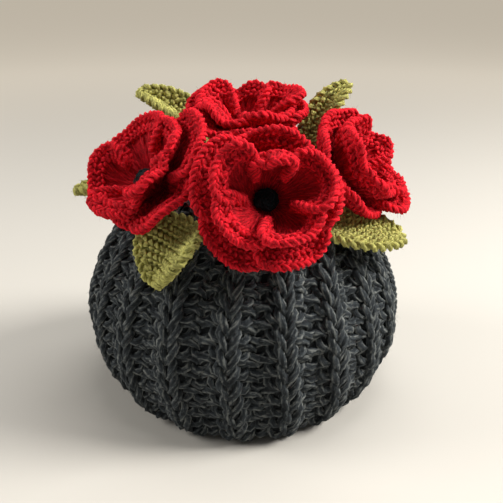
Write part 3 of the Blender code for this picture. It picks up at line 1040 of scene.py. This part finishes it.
def strip_along(rise, tip, roll, share):
    """(outwards, up) along a strip of unit length that bends from rise to tip and rolls at its end."""
    out = up = 0.0
    for step in range(BENDS):
        place = share * (step + 0.5) / BENDS
        curl = ((place - ROLL_START) / (1 - ROLL_START)).clip(0, 1)
        turn = np.radians(rise + (tip - rise) * place + roll * curl)
        out = out + np.cos(turn) * share / BENDS
        up = up + np.sin(turn) * share / BENDS
    return out, up


class Round:
    """One round of petals as a surface: petal index, across it from -1 to 1, along it from 0 to 1."""

    def __init__(self, poppy, which):
        row = dict(zip(POPPY_COLUMNS, POPPIES[poppy]))
        self.petals = [dict(zip(PETAL_COLUMNS, petal)) for petal in PETALS[f"{poppy}_{which}"]]
        self.ahead, self.right, self.top = facing(row["azimuth"], row["rise"])
        self.centre = np.array(row["root"]) + self.ahead * (row["inner"] if which == "inner" else 0.0)
        self.hole = ROOT_RADIUS[which]
        self.notch = NOTCH[which]
        self.cup = CUP[which]

    def neighbours(self, index):
        """The petal before one, the petal itself and the petal after it."""
        return self.petals[index - 1], self.petals[index], self.petals[(index + 1) % len(self.petals)]

    def spread(self, index, across, along=1.0):
        """(clock, petal length, share past the notch) at a place. Past the notch a petal widens."""
        across = np.asarray(across, float)
        behind, petal, ahead = self.neighbours(index)
        lengths = np.where(across > 0, ahead["length"], behind["length"])
        half = np.where(
            across > 0,
            math.remainder(ahead["clock"] - petal["clock"], 360) / 2,
            math.remainder(behind["clock"] - petal["clock"], 360) / 2,
        )
        lobe = (1 - np.abs(across).clip(0, 1) ** LOBE_POWER) ** (1 / LOBE_POWER)
        notch = self.notch * (petal["length"] + lengths) / 2
        length = notch + (petal["length"] - notch) * lobe
        beyond = ((length * along - notch) / (petal["length"] - notch)).clip(0, 1)
        clock = petal["clock"] + np.abs(across) * half * (1 + OVERLAP * beyond)
        return np.radians(clock), length, beyond

    def point(self, index, across, along):
        across, along = np.broadcast_arrays(np.asarray(across, float), np.asarray(along, float))
        behind, petal, ahead = self.neighbours(index)
        body = np.cos(across * np.pi / 2) ** BODY_POWER

        def blended(column):
            beside = np.where(across > 0, ahead[column], behind[column])
            middle = (petal[column] + beside) / 2
            return middle + (petal[column] - middle) * body

        clock, length, beyond = self.spread(index, across, along)
        out, up = strip_along(blended("rise"), blended("tip"), petal["roll"] * body, along)
        stand = (blended("trough") + self.cup) * across * across * along
        stand = stand + LAP * across * beyond**LAP_POWER
        ripple = blended("wave") * np.sin(2 * np.pi * across) * along * along
        phase = RUFFLE_PHASE * index + self.centre[0] * RUFFLE_DRIFT
        ruffle = np.sin(RUFFLE_TURNS * np.pi * across + phase) * (1 - across * across)
        ripple = ripple + RUFFLE * ruffle * along**3
        out = self.hole + out * length
        up = up * length + stand + ripple
        flat = self.top * np.cos(clock)[..., None] + self.right * np.sin(clock)[..., None]
        return self.centre + flat * out[..., None] + self.ahead * up[..., None]

    def axes(self, index, across, along):
        """Unit vectors across the cloth, along it, and off its face."""
        e = 0.01
        a = np.clip(across, -1 + 2 * e, 1 - 2 * e)
        side = self.point(index, a + e, along) - self.point(index, a - e, along)
        run = self.point(index, a, along + e) - self.point(index, a, along - e)
        side, run = unit(side), unit(run)
        return side, run, unit(np.cross(run, side))

    def ground(self):
        """Rings of points from the root to the rim."""
        across = np.array([-1.0, *(-step for step in PETAL_STEPS[::-1]), 0.0, *PETAL_STEPS])
        rings = []
        for along in np.linspace(0.0, PETAL_END, PETAL_RINGS):
            rings.append(np.concatenate([self.point(i, across, along) for i in range(len(self.petals))]))
        disc = [self.centre + (rings[0] - self.centre) * share for share in ROOT_DISC]
        return np.array(disc + rings)

    def posts(self, count, rng):
        """Lines of the trebles that fan out over each petal, and each point's girth."""
        lines, girths = [], []
        along = np.linspace(0.0, POST_END, POST_POINTS)
        for index in range(len(self.petals)):
            places = np.linspace(-1, 1, count + 1)[:-1] + 1 / count
            for j, place in enumerate(places):
                sway = POST_SWAY / count * np.sin(2 * np.pi * (SWAY_TURNS * along + rng.random()))
                across = place * (1 - POST_DRAW * (1 - along)) + sway
                face = self.axes(index, across, along)[2]
                length = self.spread(index, across)[1]
                spread = (self.hole + length * along) / (self.hole + FULL_PETAL)
                wave = POST_WAVE * np.sin(2 * np.pi * (WAVE_TURNS * along + rng.random()))
                high = POST_STEP * (-1) ** j * np.ones_like(along) + wave
                line = self.point(index, across, along) + face * high[:, None]
                start = self.centre + (line[0] - self.centre) * np.array(POST_STARTS)[:, None]
                lines.append(np.concatenate([start, line]))
                grown = np.concatenate([[0, 0], spread]).clip(0, 1.05)
                girths.append(POST_ROOT + (1 - POST_ROOT) * grown)
        return lines, girths

    def chain(self, along):
        """A closed line round the petals, with the way back to the root and the way off the face."""
        slope = np.linspace(-np.pi / 2, np.pi / 2, 121)[:-1]
        across = np.sign(slope) * np.abs(np.sin(slope)) ** (2 / LOBE_POWER)
        points, inwards, faces = [], [], []
        for index in range(len(self.petals)):
            points.append(self.point(index, across, along))
            _, run, face = self.axes(index, across, np.full_like(across, along))
            inwards.append(-run)
            faces.append(face)
        return np.concatenate(points), np.concatenate(inwards), np.concatenate(faces)


def smoothed(line, passes):
    for _ in range(passes):
        line = (np.roll(line, 1, axis=0) + 2 * line + np.roll(line, -1, axis=0)) / 4
    return line


def plait(line, inwards, faces, pitch, wide, thick, closed=True):
    """Three strands plaited along a line: a chain of stitches. They swing wide across it, and thick off
    its face."""
    if closed:
        line, inwards, faces = (np.concatenate([values, values[:1]]) for values in (line, inwards, faces))
    place = np.concatenate([[0.0], np.cumsum(np.linalg.norm(np.diff(line, axis=0), axis=1))])
    count = max(2, int(round(place[-1] / pitch)))
    stops = np.linspace(0, place[-1], count * PLAIT_STEPS + (not closed), endpoint=not closed)

    def sampled(values):
        values = np.stack([np.interp(stops, place, values[:, i]) for i in range(3)], axis=1)
        return smoothed(values, PLAIT_PASSES) if closed else values

    middle = sampled(line)
    if closed:
        ahead = unit(np.roll(middle, -1, axis=0) - np.roll(middle, 1, axis=0))
    else:
        ahead = unit(np.gradient(middle, axis=0))
    face = sampled(faces)
    face = unit(face - ahead * (face * ahead).sum(-1, keepdims=True))
    side = np.cross(ahead, face)
    side = side * np.sign((side * sampled(inwards)).sum(-1).mean())
    phase = np.pi * stops / place[-1] * count
    strands = []
    for k in range(3):
        angle = phase + 2 * np.pi * k / 3
        strands.append(
            middle + side * (wide * np.sin(angle))[:, None] + face * (thick * np.sin(2 * angle))[:, None]
        )
    return strands


class COSY_OT_crochet_poppies(Operator):
    """Crochet the poppies' rounds of petals."""

    bl_idname = "cosy.crochet_poppies"
    bl_label = "Crochet Poppies"

    def execute(self, context):
        settings = context.scene.cosy_poppies
        # The posts' wool is the scarlet darkened as painted shade for the cups' shaded interiors.
        yarn, inside, under = (
            plain_wool(name, settings.colour) for name in ("spun_scarlet", "painted_shade_scarlet", "felted_scarlet")
        )
        rng = np.random.default_rng(POST_SEED)
        for poppy in POPPIES:
            for which in ("outer", "inner"):
                node = f"poppy_{poppy}_{which}"
                one = Round(poppy, which)
                # The ground, with the disc that closes the round's hole, is darkened as painted shade.
                ground = sheet_object(f"{node}_ground", one.ground(), PETAL_GROUND, under, True)
                lines, girths = one.posts(settings.posts, rng)
                posts = yarn_piece(
                    f"{node}_posts", lines, "post", settings.post_radius, inside, girths=girths
                )
                strands = plait(*one.chain(RIM_PLACE), settings.stitch, *RIM_PLAIT)
                strands += plait(*one.chain(ROW_PLACE), settings.stitch, *ROW_PLAIT)
                rim = yarn_piece(
                    f"{node}_rim", strands, "petal_rim", settings.rim_radius, yarn, closed=True
                )
                sew_on([ground, posts, rim])
                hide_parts(node)
        return {"FINISHED"}


class COSY_OT_wind_buttons(Operator):
    """Wind the dark buttons at the poppies' eyes."""

    bl_idname = "cosy.wind_buttons"
    bl_label = "Wind Buttons"

    def execute(self, context):
        yarn = plain_wool("spun_black", context.scene.cosy_poppies.eye)
        share = np.linspace(0.0, 1.0, BUTTON_POINTS) ** BUTTON_SPREAD
        reach = BUTTON_START + BUTTON_REACH * share
        angle = 2 * np.pi * BUTTON_TURNS * share
        bumps = BUTTON_BUMP * np.sin(angle * BUTTON_BUMPS)
        dome = np.sqrt(np.clip(1 - (reach / BUTTON_RADIUS) ** 2, 0, 1))
        high = BUTTON_CROWN * dome - BUTTON_SINK + bumps
        for poppy, row in POPPIES.items():
            row = dict(zip(POPPY_COLUMNS, row))
            ahead, right, top = facing(row["azimuth"], row["rise"])
            centre = np.array(row["root"]) + ahead * (row["inner"] + row["eye"])
            line = centre + right * (reach * np.cos(angle))[:, None] + top * (reach * np.sin(angle))[:, None]
            front = line + ahead * high[:, None]
            back = line - ahead * high[:, None]
            spiral = np.concatenate([front, back[::-1][BUTTON_JOIN:]])
            name = f"poppy_{poppy}_button"
            coil = yarn_piece(f"{name}_coil", [spiral], "button", BUTTON_YARN, yarn)
            sew_on([coil])
            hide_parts(name)
        return {"FINISHED"}


# ---- leaves ----


def leaf_half_width(share):
    """Half a leaf's width as a share of its widest half: narrow at the stalk, blunt at the tip."""
    wave = np.sin(np.pi * np.minimum(share, LEAF_REACH) ** LEAF_BELLY)
    return wave.clip(LEAF_END) ** LEAF_POWER


def leaf_point(leaf, along, across):
    """A point on a leaf, across from -1 to 1."""
    along, across = np.broadcast_arrays(np.asarray(along, float), np.asarray(across, float))
    azimuth = math.radians(leaf["azimuth"])
    level = np.array([math.sin(azimuth), -math.cos(azimuth), 0.0])
    side = np.array([math.cos(azimuth), math.sin(azimuth), 0.0])
    up_axis = np.array([0.0, 0.0, 1.0])
    out, up = strip_along(leaf["rise"], leaf["rise"] - leaf["droop"], 0.0, np.asarray(along, float))
    middle = np.array(leaf["root"]) + (level * out[..., None] + up_axis * up[..., None]) * leaf["length"]
    slope = math.radians(leaf["rise"]) - math.radians(leaf["droop"]) * along
    face = up_axis * np.cos(slope)[..., None] - level * np.sin(slope)[..., None]
    roll = math.radians(leaf["roll"])
    wing = side * math.cos(roll) + face * math.sin(roll)
    face = face * math.cos(roll) - side * math.sin(roll)
    half = leaf["width"] / 2 * leaf_half_width(along)
    fold = math.radians(leaf["fold"])
    stand = np.sqrt(across * across + LEAF_CREASE * LEAF_CREASE) - LEAF_CREASE
    return (
        middle
        + wing * (across * half * math.cos(fold))[..., None]
        + face * (stand * half * math.sin(fold))[..., None]
    )


def leaf_face(leaf, along, across):
    """The way off a leaf's face."""
    e = 0.01
    run = leaf_point(leaf, along + e, across) - leaf_point(leaf, along - e, across)
    side = leaf_point(leaf, along, across + e) - leaf_point(leaf, along, across - e)
    return unit(np.cross(side, run))


def leaf_rows(leaf, stitch):
    """The garter ridges that cross a leaf from edge to edge, as strands."""
    strands = []
    count = int(round(leaf["length"] / (RIDGE_PITCH * stitch)))
    across = np.linspace(-RIDGE_REACH, RIDGE_REACH, RIDGE_POINTS)
    for i in range(count):
        along = np.full_like(across, (i + 0.6) / (count + 0.2)) + RIDGE_BOW * (np.abs(across) - 0.5)
        along = along.clip(0.02, 0.98)
        line = leaf_point(leaf, along, across)
        face = leaf_face(leaf, along, across)
        run = leaf_point(leaf, along + 0.01, across) - leaf_point(leaf, along - 0.01, across)
        strands += plait(line, run, face, stitch, *RIDGE_PLAIT, closed=False)
    return strands


def leaf_rim(leaf):
    """A leaf's edge as one closed line, the way in to its midrib and the way off its face."""
    up_side = np.linspace(0.0, 1.0, EDGE_POINTS)
    edge = np.full(EDGE_POINTS, EDGE_REACH)
    tip = np.linspace(EDGE_REACH, -EDGE_REACH, TIP_POINTS + 2)[1:-1]
    along = np.concatenate([up_side, np.full(TIP_POINTS, 1.0), up_side[::-1], np.full(TIP_POINTS, 0.0)])
    across = np.concatenate([edge, tip, -edge, tip[::-1]])
    points = leaf_point(leaf, along, across)
    centre = leaf_point(leaf, np.clip(along, 0.15, 0.85), 0 * across)
    return points, unit(centre - points), leaf_face(leaf, np.clip(along, 0.02, 0.98), across * 0.98)


def leaf_midrib(leaf):
    """Two strands twisted along a leaf's middle."""
    along = np.linspace(0.02, 0.97, MIDRIB_POINTS)
    wave = np.sin(2 * np.pi * along * leaf["length"] / MIDRIB_PITCH)
    half = leaf["width"] / 2 * leaf_half_width(along)
    high = MIDRIB_RISE + MIDRIB_WAVE * np.cos(np.pi * along * MIDRIB_WAVES)
    lift = leaf_face(leaf, along, 0 * along) * high[:, None]
    return [leaf_point(leaf, along, way * MIDRIB_SWING * wave / half) + lift for way in (-1, 1)]


class COSY_OT_knit_leaves(Operator):
    """Knit the leaves."""

    bl_idname = "cosy.knit_leaves"
    bl_label = "Knit Leaves"

    def execute(self, context):
        settings = context.scene.cosy_leaves
        yarn = plain_wool("spun_moss", settings.colour)
        # The ground's wool is the leaves' colour darkened as painted shade for the gaps between the stitches.
        under = plain_wool("felted_moss", settings.colour)
        along, across = np.meshgrid(*(np.linspace(*points) for points in LEAF_CLOTH), indexing="ij")
        for name, row in LEAVES.items():
            leaf = dict(zip(LEAF_COLUMNS, row))
            cloth = leaf_point(leaf, along, across)
            ground = sheet_object(f"{name}_ground", cloth, LEAF_GROUND, under, False)
            rows = leaf_rows(leaf, settings.stitch)
            stitches = yarn_piece(f"{name}_stitches", rows, "garter", settings.row_radius, yarn)
            loops = plait(*leaf_rim(leaf), settings.loop, *EDGE_PLAIT)
            rim = yarn_piece(f"{name}_rim", loops, "leaf_edge", settings.rim_radius, yarn, closed=True)
            ribs = leaf_midrib(leaf)
            midrib = yarn_piece(f"{name}_midrib", ribs, "leaf_edge", settings.rim_radius, yarn)
            sew_on([ground, stitches, rim, midrib])
            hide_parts(name)
        return {"FINISHED"}


# ---- loose fibres ----


def fuzz_groups():
    """(piece, the yarn pieces it grows on, slot, wool) for each group of loose fibres."""
    groups = []
    for panel in PANELS:
        grown = [f"{panel}_yarn_{part}" for part in ("lower", "upper")]
        groups.append((f"{panel}_fuzz", grown, "charcoal_wool", "loose_heather"))
    for poppy in POPPIES:
        rounds = [f"poppy_{poppy}_{which}" for which in ("outer", "inner")]
        grown = [f"{one}_{part}" for one in rounds for part in ("posts", "rim")]
        groups.append((f"poppy_{poppy}_fuzz", grown, "poppy_wool", "spun_scarlet"))
    for leaf in LEAVES:
        grown = [f"{leaf}_{part}" for part in ("stitches", "rim")]
        groups.append((f"{leaf}_fuzz", grown, "leaf_yarn", "spun_moss"))
    return groups


def joined(name, sources):
    """One mesh with the faces of several objects."""
    points, faces, shift = [], [], 0
    for source in sources:
        mesh = bpy.data.objects[source].data
        place = np.empty(len(mesh.vertices) * 3, np.float32)
        mesh.vertices.foreach_get("co", place)
        corners = np.empty(len(mesh.loops), np.int32)
        mesh.loops.foreach_get("vertex_index", corners)
        starts = np.empty(len(mesh.polygons), np.int32)
        mesh.polygons.foreach_get("loop_start", starts)
        points.append(place.reshape(-1, 3))
        faces.extend((side + shift).tolist() for side in np.split(corners, starts[1:]))
        shift += len(mesh.vertices)
    mesh = bpy.data.meshes.new(name)
    mesh.from_pydata(np.concatenate(points).tolist(), [], faces)
    return mesh


class COSY_OT_raise_fuzz(Operator):
    """Raise the loose fibres on the body, the poppies and the leaves."""

    bl_idname = "cosy.raise_fuzz"
    bl_label = "Raise Fuzz"

    def execute(self, context):
        settings = context.scene.cosy_fuzz
        plain_wool("loose_heather", context.scene.cosy_knit.heather)
        for number, (name, sources, slot, yarn) in enumerate(fuzz_groups()):
            fuzz = linked(name, joined(name, sources))
            run_tree(fuzz, tree_named("Wool Fuzz", fuzz_tree), {
                "Density": settings.density, "Fibre Length": settings.length,
                "Fibre Radius": settings.radius, "Seed": number + 1,
                "Material": bpy.data.materials[yarn],
            })
            sew_on([fuzz])
        return {"FINISHED"}


# ---- stage ----
FLOOR_HALF = 60.0
FLOOR_COLOUR = (0.55, 0.53, 0.49, 1.0)
FLOOR_ROUGHNESS = 0.85
GLOW_FROM = 0.3  # how far from the cosy the floor's glow starts, and where it is full
GLOW_FULL = 1.5
GLOW_STRENGTH = 0.42
SEEN_STRENGTH = 0.52  # of the room behind the cosy, which only the camera sees
FAR_GLOW = (1.0, 0.88, 0.70, 1.0)
DIM_COLOUR = (0.92, 0.90, 0.87, 1.0)
DIM_STRENGTH = 0.16
# One row for each lamp: its place, its width, its power in watts and its tint.
LAMPS = {
    "key": ((0.90, -0.10, 0.75), 0.5, 20.0, (1.0, 0.97, 0.92)),
    "side": ((-1.0, -0.05, 0.55), 0.6, 8.0, (1.0, 0.97, 0.92)),
    "top": ((0.15, 0.05, 1.1), 0.7, 6.0, (1.0, 0.98, 0.95)),
}
AIM = (0.0, 0.0, 0.06)  # what the lamps and the camera point at
EYE = (0.0, -0.3894, 0.2173)
SENSOR = 36.0  # in millimetres, as the lens
LENS = 54.50
SHIFT = (0.0151, 0.0467)
NEAREST = 0.01


def pale_floor():
    """A pale floor that glows softly past the lamps' reach, as a lit room's far side would."""
    pale = bpy.data.materials.new("pale_floor")
    pale.use_nodes = True
    tree = pale.node_tree
    place = tree.nodes.new("ShaderNodeTexCoord").outputs["Object"]
    reach = wired(tree, "ShaderNodeVectorMath", {0: place}, operation="LENGTH").outputs["Value"]
    ends = {"Value": reach, "From Min": GLOW_FROM, "From Max": GLOW_FULL, "To Max": GLOW_STRENGTH}
    glow = wired(tree, "ShaderNodeMapRange", ends, interpolation_type="SMOOTHSTEP")
    fill(tree, tree.nodes["Principled BSDF"], {
        "Base Color": FLOOR_COLOUR, "Roughness": FLOOR_ROUGHNESS,
        "Emission Color": FAR_GLOW, "Emission Strength": glow.outputs["Result"],
    })
    return pale


def studio_world():
    """Dim even light from all round, behind which the room looks as pale as the floor's far side."""
    world = bpy.data.worlds.new("studio")
    world.use_nodes = True
    tree = world.node_tree
    dim = fill(tree, tree.nodes["Background"], {"Color": DIM_COLOUR, "Strength": DIM_STRENGTH})
    seen = wired(tree, "ShaderNodeBackground", {"Color": FAR_GLOW, "Strength": SEEN_STRENGTH})
    ray = tree.nodes.new("ShaderNodeLightPath").outputs["Is Camera Ray"]
    mixed = wired(tree, "ShaderNodeMixShader", {"Fac": ray, 1: dim.outputs[0], 2: seen.outputs[0]})
    fill(tree, tree.nodes["World Output"], {"Surface": mixed.outputs[0]})
    return world


class COSY_OT_set_stage(Operator):
    """Lay the floor, and set the lights and the camera."""

    bl_idname = "cosy.set_stage"
    bl_label = "Set Stage"

    def execute(self, context):
        scene = context.scene
        scene.view_settings.view_transform = "Standard"
        corners = [(x * FLOOR_HALF, y * FLOOR_HALF, 0.0) for x, y in ((-1, -1), (1, -1), (1, 1), (-1, 1))]
        mesh = bpy.data.meshes.new("floor")
        mesh.from_pydata(corners, [], [(0, 1, 2, 3)])
        floor = linked("floor", mesh)
        mesh.materials.append(pale_floor())
        scene.world = studio_world()
        for name, (place, size, power, tint) in LAMPS.items():
            light = bpy.data.lights.new(name, "AREA")
            light.shape = "DISK"
            light.size = size
            light.energy = power
            light.color = tint
            lamp = linked(name, light)
            lamp.location = place
            lamp.rotation_euler = look(place)
        data = bpy.data.cameras.new("camera")
        data.sensor_width = SENSOR
        data.lens = LENS
        data.shift_x, data.shift_y = SHIFT
        data.clip_start = NEAREST
        camera = linked("camera", data)
        camera.location = EYE
        camera.rotation_euler = look(EYE)
        scene.camera = camera
        return {"FINISHED"}


def look(place):
    """The turn that points a lamp or camera at this place towards the aim, with its top up."""
    x, y, z = np.array(AIM) - np.array(place)
    return math.pi / 2 + math.atan2(z, math.hypot(x, y)), 0.0, math.atan2(-x, y)


class COSY_PT_sidebar(Panel):
    """The tea cosy's sizes and colours."""

    bl_idname = "COSY_PT_sidebar"
    bl_label = "Tea Cosy"
    bl_space_type = "VIEW_3D"
    bl_region_type = "UI"
    bl_category = "Tea Cosy"

    def draw(self, context):
        layout = self.layout
        for group, operators in (
            (context.scene.cosy_knit, (COSY_OT_knit_panels,)),
            (context.scene.cosy_poppies, (COSY_OT_crochet_poppies, COSY_OT_wind_buttons)),
            (context.scene.cosy_leaves, (COSY_OT_knit_leaves,)),
            (context.scene.cosy_fuzz, (COSY_OT_raise_fuzz,)),
        ):
            box = layout.box()
            for name in group.bl_rna.properties.keys():
                if name not in ("rna_type", "name"):
                    box.prop(group, name)
            for operator in operators:
                box.operator(operator.bl_idname)
        layout.operator(COSY_OT_set_stage.bl_idname)


CLASSES = (
    KnitSettings,
    PoppySettings,
    LeafSettings,
    FuzzSettings,
    COSY_OT_knit_panels,
    COSY_OT_crochet_poppies,
    COSY_OT_wind_buttons,
    COSY_OT_knit_leaves,
    COSY_OT_raise_fuzz,
    COSY_OT_set_stage,
    COSY_PT_sidebar,
)
SETTINGS = {
    "cosy_knit": KnitSettings,
    "cosy_poppies": PoppySettings,
    "cosy_leaves": LeafSettings,
    "cosy_fuzz": FuzzSettings,
}


def register():
    for cls in CLASSES:
        bpy.utils.register_class(cls)
    for name, group in SETTINGS.items():
        setattr(bpy.types.Scene, name, PointerProperty(type=group))


def unregister():
    for name in SETTINGS:
        delattr(bpy.types.Scene, name)
    for cls in reversed(CLASSES):
        bpy.utils.unregister_class(cls)


def main():
    register()
    bpy.ops.cosy.set_stage()
    bpy.ops.cosy.knit_panels()
    bpy.ops.cosy.crochet_poppies()
    bpy.ops.cosy.wind_buttons()
    bpy.ops.cosy.knit_leaves()
    bpy.ops.cosy.raise_fuzz()


if __name__ == "__main__":
    main()
